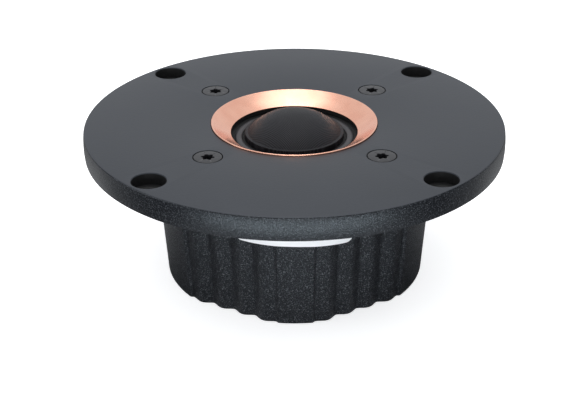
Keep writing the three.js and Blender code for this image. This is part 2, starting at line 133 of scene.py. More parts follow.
def turned(name, profile, sides, closed=True):
    """A profile of (r, z) points turned about Z. It closes on itself, or starts and ends on the axis."""
    vertices = []
    rings = []
    for r, z in profile:
        if abs(r) < ON_AXIS:
            rings.append([len(vertices)] * sides)
            vertices.append((0, 0, z))
            continue
        rings.append(list(range(len(vertices), len(vertices) + sides)))
        for k in range(sides):
            angle = 2 * math.pi * k / sides
            vertices.append((r * math.cos(angle), r * math.sin(angle), z))
    faces = []
    pairs = list(zip(rings, rings[1:] + ([rings[0]] if closed else [])))
    for low, high in pairs:
        for k in range(sides):
            corner = [low[k], low[(k + 1) % sides], high[(k + 1) % sides], high[k]]
            ordered = list(dict.fromkeys(corner))
            if len(ordered) > 2:
                faces.append(ordered)
    obj = mesh_object(name, vertices, faces)
    face_outwards(obj)
    return obj


def lofted(name, outline, levels):
    """An outline of (x, y) points carried up through (z, scale) levels, closed at both ends."""
    count = len(outline)
    vertices = [(x * scale, y * scale, z) for z, scale in levels for x, y in outline]
    faces = []
    for level in range(len(levels) - 1):
        low = level * count
        high = low + count
        for k in range(count):
            after = (k + 1) % count
            faces.append((low + k, low + after, high + after, high + k))
    faces.append(tuple(reversed(range(count))))
    faces.append(tuple(range((len(levels) - 1) * count, len(levels) * count)))
    obj = mesh_object(name, vertices, faces)
    face_outwards(obj)
    return obj


def slab(name, size, centre, round_edges=0.0):
    """A box with bevelled edges."""
    work = bmesh.new()
    bmesh.ops.create_cube(work, size=1.0)
    for vertex in work.verts:
        vertex.co = Vector(centre) + Vector(a * b for a, b in zip(vertex.co, size))
    if round_edges > 0:
        bmesh.ops.bevel(work, geom=work.edges[:], offset=round_edges, segments=3,
                        affect="EDGES", profile=0.5)
    mesh = bpy.data.meshes.new(name)
    work.to_mesh(mesh)
    work.free()
    obj = bpy.data.objects.new(name, mesh)
    bpy.context.scene.collection.objects.link(obj)
    return obj


def apply_modifiers(obj):
    """The object's mesh as its modifiers leave it."""
    graph = bpy.context.evaluated_depsgraph_get()
    mesh = bpy.data.meshes.new_from_object(obj.evaluated_get(graph))
    obj.modifiers.clear()
    obj.data = mesh


def combine(obj, others, operation):
    """A boolean with each of the others, which are used up."""
    for other in others:
        step = obj.modifiers.new("combine", "BOOLEAN")
        step.operation = operation
        step.solver = "EXACT"
        step.object = other
    apply_modifiers(obj)
    for other in others:
        bpy.data.objects.remove(other)


def cut(obj, cutters):
    combine(obj, cutters, "DIFFERENCE")


def on_diagonals(make, radius):
    """One object from make() on each diagonal, with its place in its mesh."""
    made = []
    for angle in DIAGONALS:
        obj = make()
        obj.data.transform(Matrix.Translation((radius * math.cos(angle), radius * math.sin(angle), 0)))
        made.append(obj)
    return made


# ------------------------------------------------------------------ material helpers
def fill_ramp(ramp, stops):
    """stops are (position, value or colour)."""
    while len(ramp.elements) < len(stops):
        ramp.elements.new(0.5)
    for element, (position, value) in zip(ramp.elements, stops):
        element.position = position
        color = (value, value, value) if isinstance(value, (int, float)) else value
        element.color = (*color, 1.0)


class Paint:
    """A material's node tree with short calls for the nodes that it needs."""

    def __init__(self, name, color, roughness, metallic=0.0):
        self.material = bpy.data.materials.new(name)
        self.material.use_nodes = True
        self.tree = self.material.node_tree
        self.shader = self.tree.nodes["Principled BSDF"]
        self.set("Base Color", (*color, 1.0))
        self.set("Roughness", roughness)
        self.set("Metallic", metallic)
        self.place = self.node("ShaderNodeTexCoord").outputs["Object"]

    def node(self, kind, **settings):
        made = self.tree.nodes.new(kind)
        for key, value in settings.items():
            setattr(made, key, value)
        return made

    def join(self, source, target):
        self.tree.links.new(source, target)

    def set(self, socket, value):
        self.shader.inputs[socket].default_value = value

    def noise(self, size, detail=2.0, roughness=0.5, place=None):
        """Noise whose features are about size metres across."""
        made = self.node("ShaderNodeTexNoise")
        made.inputs["Scale"].default_value = 1 / size
        made.inputs["Detail"].default_value = detail
        made.inputs["Roughness"].default_value = roughness
        self.join(place or self.place, made.inputs["Vector"])
        return made.outputs["Fac"]

    def cells(self, size):
        """Distance to the middle of cells about size metres across."""
        made = self.node("ShaderNodeTexVoronoi")
        made.inputs["Scale"].default_value = 1 / size
        self.join(self.place, made.inputs["Vector"])
        return made.outputs["Distance"]

    def feed(self, sockets, values):
        """Each socket gets a number, or a link from another node's output."""
        for socket, value in zip(sockets, values):
            if isinstance(value, (int, float)):
                socket.default_value = value
            else:
                self.join(value, socket)

    def math(self, operation, a, b=0.0):
        made = self.node("ShaderNodeMath", operation=operation)
        self.feed(made.inputs, (a, b))
        return made.outputs[0]

    def ramp(self, source, stops):
        made = self.node("ShaderNodeValToRGB")
        fill_ramp(made.color_ramp, stops)
        self.join(source, made.inputs["Fac"])
        return made.outputs["Color"]

    def color(self, source, stops):
        self.join(self.ramp(source, stops), self.shader.inputs["Base Color"])

    def roughness(self, source, low, high):
        self.join(self.span(source, low, high), self.shader.inputs["Roughness"])

    def span(self, source, low, high, from_low=0.0, from_high=1.0):
        """The source's range moved to run from low to high."""
        made = self.node("ShaderNodeMapRange")
        self.join(source, made.inputs["Value"])
        made.inputs["From Min"].default_value = from_low
        made.inputs["From Max"].default_value = from_high
        made.inputs["To Min"].default_value = low
        made.inputs["To Max"].default_value = high
        return made.outputs["Result"]

    def bump(self, heights):
        """heights are (height source, depth in metres), worked in from coarse to fine."""
        normal = None
        for source, depth in heights:
            made = self.node("ShaderNodeBump")
            made.inputs["Strength"].default_value = 1.0
            made.inputs["Distance"].default_value = depth
            self.join(source, made.inputs["Height"])
            if normal is not None:
                self.join(normal, made.inputs["Normal"])
            normal = made.outputs["Normal"]
        self.join(normal, self.shader.inputs["Normal"])

    def xyz(self):
        made = self.node("ShaderNodeSeparateXYZ")
        self.join(self.place, made.inputs["Vector"])
        return made.outputs

    def radius(self):
        """Distance from the tweeter's axis."""
        x, y, _ = self.xyz()
        squares = self.math("ADD", self.math("MULTIPLY", x, x), self.math("MULTIPLY", y, y))
        return self.math("SQRT", squares)

    def vector(self, x, y, z):
        made = self.node("ShaderNodeCombineXYZ")
        self.feed(made.inputs, (x, y, z))
        return made.outputs[0]


# ------------------------------------------------------------------ materials
def satin_paint():
    """Smooth satin black on the faceplate's front."""
    paint = Paint("satin_paint", (0.013, 0.015, 0.02), 0.42)
    cloud = paint.noise(14 * MM, detail=3)
    grain = paint.noise(0.5 * MM, detail=2)
    paint.color(cloud, [(0.3, (0.011, 0.013, 0.018)), (0.7, (0.015, 0.017, 0.023))])
    paint.roughness(cloud, 0.37, 0.45)
    paint.bump([(grain, 0.025 * MM)])
    paint.set("Specular IOR Level", 0.43)
    paint.set("Specular Tint", (0.86, 0.93, 1.0, 1.0))
    return paint.material


def textured_paint(name, painted_glint, relief, sheen):
    """Black powder coat: a pebbled grain with painted shade in its pits and painted glints on its peaks.
    relief scales its depth.
    """
    paint = Paint(name, (0.02, 0.021, 0.024), 0.4)
    grain = paint.noise(0.34 * MM, detail=2, roughness=0.6)
    pebbles = paint.cells(0.45 * MM)
    # Colour from the same grain that bumps the coat: painted shade where it is low, painted glints where
    # it is high.
    paint.color(grain, [
        (0.43, (0.003, 0.0035, 0.005)),
        (0.56, (0.01, 0.011, 0.014)),
        (0.67, (painted_glint * 0.92, painted_glint * 0.97, painted_glint * 1.05)),
    ])
    paint.roughness(grain, sheen + 0.14, sheen)
    paint.bump([(pebbles, relief * 0.1 * MM), (grain, relief * 0.25 * MM)])
    paint.set("Specular IOR Level", 0.36)
    paint.set("Specular Tint", (0.86, 0.94, 1.0, 1.0))
    return paint.material


def polished_copper():
    """Turned and polished rose-copper ring with faint tool rings."""
    paint = Paint("polished_copper", (0.86, 0.47, 0.34), 0.2, 1.0)
    around = paint.vector(paint.radius(), 0.0, 0.0)
    rings = paint.noise(0.12 * MM, detail=2, place=around)
    cloud = paint.noise(5 * MM, detail=2)
    paint.color(cloud, [(0.3, (0.83, 0.43, 0.31)), (0.7, (0.88, 0.49, 0.36))])
    paint.roughness(rings, 0.2, 0.3)
    paint.bump([(rings, 0.002 * MM)])
    return paint.material


def coated_weave():
    """Fine woven silk, doped black: threads run along X and Y as in the flat cloth it was pressed from.
    Its colour carries painted shade between the threads and a painted highlight on their crests.
    """
    paint = Paint("coated_weave", (0.012, 0.012, 0.014), 0.55)
    pitch = 0.62 * MM
    x, y, _ = paint.xyz()
    turn = 2 * math.pi / pitch
    warp = paint.math("SINE", paint.math("MULTIPLY", x, turn))
    weft = paint.math("SINE", paint.math("MULTIPLY", y, turn))
    weave = paint.math("MULTIPLY", warp, weft)
    height = paint.span(weave, 0.0, 1.0, -1.0, 1.0)
    cloud = paint.noise(3 * MM, detail=3)
    # Colour from the threads' height: painted shade in the valleys, painted highlight on the crests.
    paint.color(height, [
        (0.0, (0.001, 0.001, 0.002)),
        (0.55, (0.003, 0.003, 0.005)),
        (1.0, (0.034, 0.034, 0.04)),
    ])
    paint.roughness(cloud, 0.44, 0.52)
    paint.set("Specular IOR Level", 0.22)
    paint.bump([(cloud, 0.02 * MM), (height, 0.08 * MM)])
    return paint.material


def doped_roll():
    """The surround: the same cloth under a thicker, smoother coat."""
    paint = Paint("doped_roll", (0.02, 0.02, 0.023), 0.42)
    cloud = paint.noise(1.2 * MM, detail=3)
    paint.color(cloud, [(0.3, (0.014, 0.014, 0.017)), (0.7, (0.024, 0.024, 0.028))])
    paint.roughness(cloud, 0.36, 0.5)
    paint.bump([(cloud, 0.03 * MM)])
    return paint.material


def black_oxide():
    paint = Paint("black_oxide", (0.015, 0.015, 0.017), 0.34, 0.3)
    grain = paint.noise(0.4 * MM, detail=3)
    paint.color(grain, [(0.3, (0.01, 0.01, 0.012)), (0.7, (0.022, 0.022, 0.025))])
    paint.roughness(grain, 0.26, 0.42)
    paint.bump([(grain, 0.01 * MM)])
    return paint.material


def label_film():
    paint = Paint("label_film", (0.86, 0.86, 0.88), 0.38)
    cloud = paint.noise(6 * MM, detail=3)
    paint.color(cloud, [(0.3, (0.91, 0.91, 0.93)), (0.7, (0.95, 0.95, 0.96))])
    paint.roughness(cloud, 0.32, 0.45)
    paint.bump([(cloud, 0.03 * MM)])
    return paint.material


def plated_steel():
    paint = Paint("plated_steel", (0.5, 0.5, 0.52), 0.35, 1.0)
    around = paint.vector(paint.radius(), 0.0, 0.0)
    rings = paint.noise(0.25 * MM, detail=2, place=around)
    cloud = paint.noise(4 * MM, detail=3)
    paint.color(cloud, [(0.3, (0.46, 0.46, 0.48)), (0.7, (0.56, 0.55, 0.54))])
    paint.roughness(rings, 0.28, 0.42)
    paint.bump([(rings, 0.01 * MM)])
    return paint.material


def ground_ferrite():
    paint = Paint("ground_ferrite", (0.04, 0.04, 0.042), 0.75)
    grain = paint.noise(0.3 * MM, detail=3)
    paint.color(grain, [(0.3, (0.028, 0.028, 0.03)), (0.7, (0.06, 0.06, 0.062))])
    paint.bump([(grain, 0.03 * MM)])
    return paint.material


def bare_copper():
    paint = Paint("bare_copper", (0.62, 0.27, 0.13), 0.3, 1.0)
    _, _, z = paint.xyz()
    turns = paint.math("SINE", paint.math("MULTIPLY", z, 2 * math.pi / (0.3 * MM)))
    cloud = paint.noise(2 * MM, detail=2)
    paint.color(cloud, [(0.3, (0.55, 0.22, 0.10)), (0.7, (0.68, 0.31, 0.16))])
    paint.bump([(paint.span(turns, 0.0, 1.0, -1.0, 1.0), 0.05 * MM)])
    return paint.material


def wool_felt():
    paint = Paint("wool_felt", (0.3, 0.29, 0.27), 0.95)
    fibres = paint.noise(0.6 * MM, detail=6, roughness=0.7)
    paint.color(fibres, [(0.3, (0.2, 0.19, 0.175)), (0.7, (0.38, 0.37, 0.34))])
    paint.bump([(fibres, 0.4 * MM)])
    paint.set("Sheen Weight", 0.4)
    return paint.material


def moulded(name, color, grain_size=0.4 * MM, depth=0.02 * MM, roughness=0.5):
    """Plain moulded plastic or rubber, with a fine grain and slightly uneven colour."""
    paint = Paint(name, color, roughness)
    grain = paint.noise(grain_size, detail=3)
    dark = tuple(c * 0.8 for c in color)
    light = tuple(min(1.0, c * 1.25) for c in color)
    paint.color(grain, [(0.3, dark), (0.7, light)])
    paint.roughness(grain, roughness * 0.85, min(1.0, roughness * 1.15))
    paint.bump([(grain, depth)])
    return paint.material


def phenolic():
    """Brown laminated board: fine fibres along X."""
    paint = Paint("phenolic", (0.16, 0.07, 0.03), 0.45)
    x, y, z = paint.xyz()
    along = paint.vector(paint.math("MULTIPLY", x, 0.15), y, z)
    fibres = paint.noise(0.5 * MM, detail=4, place=along)
    paint.color(fibres, [(0.3, (0.11, 0.045, 0.018)), (0.7, (0.21, 0.095, 0.04))])
    paint.roughness(fibres, 0.38, 0.55)
    paint.bump([(fibres, 0.02 * MM)])
    return paint.material


def tinned_brass():
    paint = Paint("tinned_brass", (0.66, 0.58, 0.38), 0.3, 1.0)
    cloud = paint.noise(1.5 * MM, detail=4)
    paint.color(cloud, [(0.3, (0.6, 0.5, 0.28)), (0.7, (0.72, 0.68, 0.55))])
    paint.roughness(cloud, 0.22, 0.4)
    paint.bump([(cloud, 0.02 * MM)])
    return paint.material


def former_foil():
    paint = Paint("former_foil", (0.6, 0.6, 0.62), 0.25, 1.0)
    cloud = paint.noise(1.0 * MM, detail=3)
    paint.color(cloud, [(0.3, (0.56, 0.56, 0.58)), (0.7, (0.66, 0.66, 0.68))])
    paint.roughness(cloud, 0.2, 0.34)
    paint.bump([(cloud, 0.01 * MM)])
    return paint.material


SATIN = satin_paint()
TEXTURED = textured_paint("textured_paint", 0.13, 1.0, 0.3)
EDGE = textured_paint("edge_paint", 0.06, 0.25, 0.16)
# Near-black for the faces inside the faceplate's holes, bores, recess and seat: painted shade.
BORE = moulded("bore_painted_shade", (0.002, 0.002, 0.0022), 0.3 * MM, 0.02 * MM, 0.6)
COPPER = polished_copper()
WEAVE = coated_weave()
ROLL = doped_roll()
OXIDE = black_oxide()
LABEL = label_film()
STEEL = plated_steel()
FERRITE = ground_ferrite()
BARE_COPPER = bare_copper()
FELT = wool_felt()
BLACK_PLASTIC = moulded("black_plastic", (0.02, 0.02, 0.022))
# Near-black, very rough: painted shade on the surround's flange and the strip at its inner foot.
FLANGE_SHADE = moulded("flange_painted_shade", (0.003, 0.003, 0.003), 0.3 * MM, 0.03 * MM, 0.9)
FOAM = moulded("foam_rubber", (0.012, 0.012, 0.012), 0.3 * MM, 0.08 * MM, 0.85)
RED_SLEEVE = moulded("red_sleeve", (0.35, 0.02, 0.02))
BLACK_SLEEVE = moulded("black_sleeve", (0.012, 0.012, 0.012))
PHENOLIC = phenolic()
BRASS = tinned_brass()
FOIL = former_foil()


def finish_piece(obj, body, node, materials, angle=38):
    """Shading, materials, body and the CAD node that a piece stands for."""
    soften(obj, angle)
    obj.data.materials.clear()
    for material in materials:
        obj.data.materials.append(material)
    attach(obj, body)
    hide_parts(node)


# ------------------------------------------------------------------ faceplate
FLARE_R = flare_high.x
RING_GAP = 0.1 * MM
THROAT_R = 19.2 * MM
RECESS_R = 25.6 * MM
SEAT_R = 43.6 * MM
RECESS_TOP = surround_low.z + 0.6 * MM
MOUNT_HOLE_R = 2.6 * MM
COUNTERBORE_R = 4.9 * MM
COUNTERBORE_DEPTH = 3.4 * MM
SCREW_HOLE_R = 2.3 * MM
SCREW_SEAT_R = 4.35 * MM
SCREW_SEAT_DEPTH = 2.6 * MM
SCREW_SEAT_RIM = 0.3 * MM
SCREW_SEAT_EDGE = 0.08 * MM
LEAD_SLOT = (14 * MM, 11 * MM)
LEAD_SLOT_Y = RECESS_R + 3.5 * MM
TOP_EDGE = 0.12 * MM
SIDE_BULGE = 0.22 * MM
SIDE_PAINT = 0.5 * MM  # the side's paint reaches this far in from the plate's outline
BACK_PAINT = 0.3 * MM  # and this far up from its back into the holes


def mounting_hole():
    """Cutter: a clearance hole under a counterbore, each with a broken edge."""
    edge = 0.22 * MM
    ledge = PLATE_TOP - COUNTERBORE_DEPTH
    return turned("hole", [
        (0, PLATE_BACK - CLEAR),
        (MOUNT_HOLE_R + edge + CLEAR, PLATE_BACK - CLEAR),
        (MOUNT_HOLE_R, PLATE_BACK + edge),
        (MOUNT_HOLE_R, ledge - edge),
        (MOUNT_HOLE_R + edge, ledge),
        (COUNTERBORE_R, ledge),
        (COUNTERBORE_R, PLATE_TOP - edge),
        (COUNTERBORE_R + edge + CLEAR, PLATE_TOP + CLEAR),
        (0, PLATE_TOP + CLEAR),
    ], 64, closed=False)


def screw_hole():
    """Cutter: a countersink over a clearance hole."""
    return turned("hole", [
        (0, PLATE_BACK - CLEAR),
        (SCREW_HOLE_R, PLATE_BACK - CLEAR),
        (SCREW_HOLE_R, PLATE_TOP - SCREW_SEAT_DEPTH),
        (SCREW_SEAT_R, PLATE_TOP - SCREW_SEAT_RIM),
        (SCREW_SEAT_R, PLATE_TOP - SCREW_SEAT_EDGE),
        (SCREW_SEAT_R + CLEAR, PLATE_TOP + CLEAR - SCREW_SEAT_EDGE),
        (0, PLATE_TOP + CLEAR - SCREW_SEAT_EDGE),
    ], 64, closed=False)


def faceplate():
    """Round plate with a slightly convex side, holes, and a recess and a seat in its back."""
    bulge = [(PLATE_R - SIDE_BULGE * (2 * t - 1) ** 2, PLATE_BACK + (PLATE_TOP - PLATE_BACK) * t, 0)
             for t in (0.25, 0.375, 0.5, 0.625, 0.75)]
    profile = filleted([
        (SEAT_R, PLATE_BACK, 0.15 * MM),
        (PLATE_R - SIDE_BULGE, PLATE_BACK, 0.22 * MM),
        *bulge,
        (PLATE_R - SIDE_BULGE, PLATE_TOP, 0.45 * MM),
        (FLARE_R + RING_GAP, PLATE_TOP, TOP_EDGE),
        (FLARE_R + RING_GAP, flare_low.z, 0),
        (THROAT_R, flare_low.z, 0),
        (THROAT_R, RECESS_TOP, 0),
        (RECESS_R, RECESS_TOP, 0),
        (RECESS_R, SEAT_Z, 0),
        (SEAT_R, SEAT_Z, 0),
    ])
    plate = turned("faceplate_body", profile, 288)
    slot_depth = 2 * (RECESS_TOP - SEAT_Z)
    lead_slot = slab("slot", (*LEAD_SLOT, slot_depth), (0, LEAD_SLOT_Y, SEAT_Z))
    cut(plate, [
        *on_diagonals(mounting_hole, MOUNT_HOLE_PCR),
        *on_diagonals(screw_hole, SCREW_PCR),
        lead_slot,
    ])
    finish_piece(plate, "frame", "faceplate", [EDGE, SATIN, BORE])
    for polygon in plate.data.polygons:
        radius = math.hypot(polygon.center.x, polygon.center.y)
        if polygon.center.z > PLATE_TOP - TOP_EDGE:
            polygon.material_index = 1
        # Faces inside the holes, bores, recess and seat take the near-black painted shade.
        elif radius < PLATE_R - SIDE_PAINT and polygon.center.z > PLATE_BACK + BACK_PAINT:
            polygon.material_index = 2


# ------------------------------------------------------------------ faceplate screws
STAR_R = 1.95 * MM
STAR_DEPTH = 1.8 * MM
STAR_LOBES = 6
LOBE_DEPTH = 0.14
HEAD_R = 4.05 * MM
HEAD_H = 2.3 * MM
SHANK_R = 2.0 * MM
SHANK_TIP = (0.4 * MM, 0.6 * MM)  # the tip's chamfer, across and along
HEAD_TOP = PLATE_TOP - 0.05 * MM
STAR_EDGE = 0.1 * MM
SCREW_TURN = 17  # degrees further round for each screw


def star_cutter():
    """Cutter: a six-lobed recess, a little wider at its mouth."""
    outline = []
    for k in range(96):
        angle = 2 * math.pi * k / 96
        radius = STAR_R * (1 - LOBE_DEPTH + LOBE_DEPTH * math.cos(STAR_LOBES * angle))
        outline.append((radius * math.cos(angle), radius * math.sin(angle)))
    return lofted("star", outline, [
        (HEAD_TOP - STAR_DEPTH, 1.0),
        (HEAD_TOP - STAR_EDGE, 1.0),
        (HEAD_TOP + STAR_EDGE, 1.14),
    ])


def screws():
    """Four countersunk screws, each turned to a different angle."""
    for number in range(1, 5):
        low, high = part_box(f"faceplate_screw_{number}")
        corners = [
            (0, low.z, 0),
            (SHANK_R - SHANK_TIP[0], low.z, 0),
            (SHANK_R, low.z + SHANK_TIP[1], 0),
            (SHANK_R, HEAD_TOP - HEAD_H, 0),
            (HEAD_R, HEAD_TOP - 0.25 * MM, 0.05 * MM),
            (HEAD_R, HEAD_TOP, 0.12 * MM),
            (0, HEAD_TOP, 0),
        ]
        screw = turned(f"screw_{number}", filleted(corners, closed=False), 72, closed=False)
        cut(screw, [star_cutter()])
        centre = (low + high) / 2
        turn = Matrix.Rotation(math.radians(SCREW_TURN * number), 4, "Z")
        screw.data.transform(Matrix.Translation((centre.x, centre.y, 0)) @ turn)
        finish_piece(screw, "frame", f"faceplate_screw_{number}", [OXIDE])


# ------------------------------------------------------------------ flare
LIP_R = FLARE_R - 0.45 * MM
LIP_DROP = 0.1 * MM
FLARE_IN_R = 18.9 * MM
FLARE_THROAT_Z = PLATE_TOP - 2.96 * MM
FLARE_HOLLOW = 0.2 * MM
SLOPE_STEPS = 20


def flare():
    """Copper-coloured ring: a narrow rounded lip, then a slope that is slightly hollow."""
    top = flare_high.z
    slope = []
    for k in range(1, SLOPE_STEPS):
        t = k / SLOPE_STEPS
        r = FLARE_IN_R + (LIP_R - FLARE_IN_R) * t
        straight = FLARE_THROAT_Z + (top - LIP_DROP - FLARE_THROAT_Z) * t
        slope.append((r, straight - FLARE_HOLLOW * math.sin(math.pi * t)))
    profile = filleted([
        (FLARE_IN_R + 0.2 * MM, flare_low.z, 0),
        (FLARE_R, flare_low.z, 0),
        (FLARE_R, top, 0.18 * MM),
        (LIP_R + LIP_DROP, top, 0.15 * MM),
        (*slope[-1], 0),
        *[(r, z, 0) for r, z in reversed(slope[:-1])],
        (FLARE_IN_R, FLARE_THROAT_Z, 0.08 * MM),
    ], steps=6)
    ring = turned("flare", profile, 288)
    finish_piece(ring, "frame", "trim_ring", [COPPER], angle=50)


# ------------------------------------------------------------------ diaphragm
SKIRT_R = dome_high.x
SKIRT_WALL = 0.35 * MM
RIM_W = 1.0 * MM
CAP_FOOT_Z = PLATE_TOP - 2.9 * MM
RIM_STEP = 0.12 * MM
CAP_STEPS = 48
ROLL_FOOT_IN = 0.8 * MM  # from the dome's skirt out to the roll
ROLL_FOOT_R = 17.7 * MM
CLOTH_T = 0.3 * MM
ROLL_STEPS = 24


def dome():
    """Pressed cap that ends in a flat glued rim on a short skirt."""
    apex = dome_high.z
    cap_r = SKIRT_R - RIM_W
    rim_z = CAP_FOOT_Z - RIM_STEP
    height = apex - CAP_FOOT_Z
    outer_r = (cap_r ** 2 + height ** 2) / (2 * height)
    centre_z = apex - outer_r
    reach = math.asin(cap_r / outer_r)
    inner_r = outer_r - SKIRT_WALL
    outside = [(0, apex)]
    inside = [(0, apex - SKIRT_WALL)]
    for k in range(1, CAP_STEPS + 1):
        angle = reach * k / CAP_STEPS
        outside.append((outer_r * math.sin(angle), centre_z + outer_r * math.cos(angle)))
        inside.append((inner_r * math.sin(angle), centre_z + inner_r * math.cos(angle)))
    rim = filleted([
        (*outside[-1], 0),
        (cap_r + RIM_STEP, rim_z, 0.05 * MM),
        (SKIRT_R, rim_z, 0.12 * MM),
        (SKIRT_R, dome_low.z, 0),
        (SKIRT_R - SKIRT_WALL, dome_low.z, 0),
        (SKIRT_R - SKIRT_WALL, rim_z - SKIRT_WALL, 0.1 * MM),
        (*inside[-1], 0),
    ], closed=False)
    profile = outside[:-1] + rim + list(reversed(inside[:-1]))
    cap = turned("dome_fabric", profile, 160, closed=False)
    finish_piece(cap, "diaphragm", "dome", [WEAVE], angle=50)


def surround():
    """Half roll between the dome's skirt and the clamped flange. The flange and the flat strip at the
    roll's inner foot are painted near-black as painted shade.
    """
    in_r = SKIRT_R + 0.1 * MM
    foot_in = SKIRT_R + ROLL_FOOT_IN
    out_r = surround_high.x
    floor_z = surround_low.z
    crest = surround_high.z - floor_z - CLOTH_T
    middle = (foot_in + ROLL_FOOT_R) / 2
    half = (ROLL_FOOT_R - foot_in) / 2
    over = []
    under = []
    for k in range(ROLL_STEPS + 1):
        angle = math.pi * (1 - k / ROLL_STEPS)
        r = middle + half * math.cos(angle)
        z = floor_z + crest * math.sin(angle) ** 0.9
        under.append((r, z))
        over.append((r, z + CLOTH_T))
    profile = [(in_r, floor_z)] + under + [(out_r, floor_z), (out_r, floor_z + CLOTH_T)]
    profile += list(reversed(over)) + [(in_r, floor_z + CLOTH_T)]
    roll = turned("surround_roll", profile, 160)
    soften(roll, 50)
    roll.data.materials.append(ROLL)
    roll.data.materials.append(FLANGE_SHADE)
    # Faces off the roll, on the flange and the inner strip, take the near-black painted shade.
    for polygon in roll.data.polygons:
        middle_r = math.hypot(polygon.center.x, polygon.center.y)
        on_roll = foot_in + 0.1 * MM < middle_r < ROLL_FOOT_R - 0.05 * MM
        polygon.material_index = 0 if on_roll else 1
    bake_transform(roll)
    for vertex in roll.data.vertices:
        r = math.hypot(vertex.co.x, vertex.co.y)
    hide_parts("surround")


# ------------------------------------------------------------------ rear housing
BASE_R = 39.2 * MM
TOP_R = 42.0 * MM
VALLEY_D = 35.8 * MM  # from the axis square out to a flat's valleys
VALLEYS = [v * MM for v in (-14.1, -7.05, 0, 7.05, 14.1)]
RIB_H = 1.3 * MM
FLAT_CENTRES = (30, 150, 210, 330)
FLAT_HALF_ANGLE = math.degrees(math.atan2(VALLEYS[-1], VALLEY_D))
SHOULDER_ANGLE = 1.4  # degrees over which a round stretch falls into its end valley
SHOULDER_DROP = BASE_R - math.hypot(VALLEY_D, VALLEYS[-1])
SHOULDER_STEPS = 8
BASE_EDGE = 0.35 * MM
BASE_EDGE_STEPS = 5
WALL = 3.0 * MM
FLOOR_T = 3.0 * MM
CAVITY_R = VALLEY_D - WALL
CAVITY_FLARE = 2.2 * MM
BOSS_R = 4.4 * MM
SHOULDER_R = 7.6 * MM
THREAD_LOW = PLATE_TOP - 18 * MM
PAD_SIZE = (28 * MM, 12 * MM)
PAD_MARGIN = 1 * MM
RIVET_X = 7 * MM
RIVET_HOLE_R = 1.9 * MM
RIVET_HOLE_REACH = 10 * MM
TERMINAL_Z = (board_low.z + board_high.z) / 2
PAD_Y = board_low.y


def from_front(radius, degrees):
    """Point at an angle from -Y, positive towards +X."""
    angle = math.radians(degrees)
    return radius * math.sin(angle), -radius * math.cos(angle)


def ribbed_flat(centre, per_rib=16):
    """Ribs with sharp valleys between them. The flat's end valleys belong to the round stretches."""
    points = []
    for rib in range(len(VALLEYS) - 1):
        half = (VALLEYS[rib + 1] - VALLEYS[rib]) / 2
        for k in range(1 if rib == 0 else 0, per_rib):
            along = half * (2 * k / per_rib - 1)
            out = VALLEY_D + RIB_H * max(0.0, math.cos(math.pi / 2 * along / half)) ** 1.5
            across = VALLEYS[rib] + half + along
            points.append(from_front(math.hypot(out, across),
                                     centre + math.degrees(math.atan2(across, out))))
    return points


def round_stretch(start, end, step=1.5):
    """Constant radius, with a rounded shoulder down into the valley at each end."""
    shoulder = [SHOULDER_ANGLE * k / SHOULDER_STEPS for k in range(SHOULDER_STEPS + 1)]
    length = end - start
    count = max(2, round((length - 2 * SHOULDER_ANGLE) / step))
    middle = [SHOULDER_ANGLE + (length - 2 * SHOULDER_ANGLE) * k / count for k in range(1, count)]
    points = []
    for offset in shoulder + middle + [length - a for a in reversed(shoulder)]:
        inset = min(offset, length - offset, SHOULDER_ANGLE)
        rise = 0.5 - 0.5 * math.cos(math.pi * inset / SHOULDER_ANGLE)
        points.append(from_front(BASE_R - SHOULDER_DROP * (1 - rise), start + offset))
    return points


def housing_outline():
    """The base's outline: ribbed flats and round stretches by turns."""
    points = []
    for centre, after in zip(FLAT_CENTRES, FLAT_CENTRES[1:] + (FLAT_CENTRES[0] + 360,)):
        points += ribbed_flat(centre)
        points += round_stretch(centre + FLAT_HALF_ANGLE, after - FLAT_HALF_ANGLE)
    return points


def housing_scale(z):
    """The outline's growth at a height, from the base up to the seat under the faceplate."""
    return 1 + (TOP_R / BASE_R - 1) * z / SEAT_Z


def post(name, radius, low_z, high_z, sides):
    """A plain cylinder on the axis."""
    return turned(name, [(0, low_z), (radius, low_z), (radius, high_z), (0, high_z)], sides, closed=False)


def housing():
    """Ribbed cup with a flat pad for the terminals and four bosses for the faceplate's screws."""
    levels = []
    for k in range(BASE_EDGE_STEPS + 1):
        angle = math.pi / 2 * k / BASE_EDGE_STEPS
        z = BASE_EDGE * (1 - math.cos(angle))
        levels.append((z, housing_scale(z) - BASE_EDGE * (1 - math.sin(angle)) / BASE_R))
    levels.append((RIM_Z, housing_scale(RIM_Z)))
    shell = lofted("housing_cup", housing_outline(), levels)
    pad_width, pad_depth = PAD_SIZE
    pad_height = board_high.z - board_low.z + 2 * PAD_MARGIN
    pad = slab("pad", (pad_width, pad_depth, pad_height), (0, PAD_Y - pad_depth / 2, TERMINAL_Z), 0.5 * MM)
    combine(shell, [pad], "UNION")
    cavity = turned("cavity", [
        (0, FLOOR_T),
        (CAVITY_R, FLOOR_T),
        (CAVITY_R + CAVITY_FLARE, RIM_Z + CLEAR),
        (0, RIM_Z + CLEAR),
    ], 96, closed=False)

    def boss():
        return post("boss", BOSS_R, FLOOR_T - CLEAR, RIM_Z, 40)

    def shoulder():
        return post("shoulder", SHOULDER_R, FLOOR_T - CLEAR, MOTOR_BOTTOM, 40)

    def thread():
        return post("thread", SCREW_HOLE_R, THREAD_LOW, RIM_Z + CLEAR, 32)

    cut(cavity, [*on_diagonals(boss, SCREW_PCR), *on_diagonals(shoulder, SCREW_PCR)])
    rivet_holes = []
    for side in (-1, 1):
        hole = post("rivet_hole", RIVET_HOLE_R, -RIVET_HOLE_REACH, RIVET_HOLE_REACH, 32)
        hole.data.transform(Matrix.Translation((side * RIVET_X, PAD_Y, TERMINAL_Z))
                            @ Matrix.Rotation(math.pi / 2, 4, "X"))
        rivet_holes.append(hole)
    cut(shell, [cavity, *on_diagonals(thread, SCREW_PCR), *rivet_holes])
    finish_piece(shell, "frame", "rear_housing", [TEXTURED], angle=32)


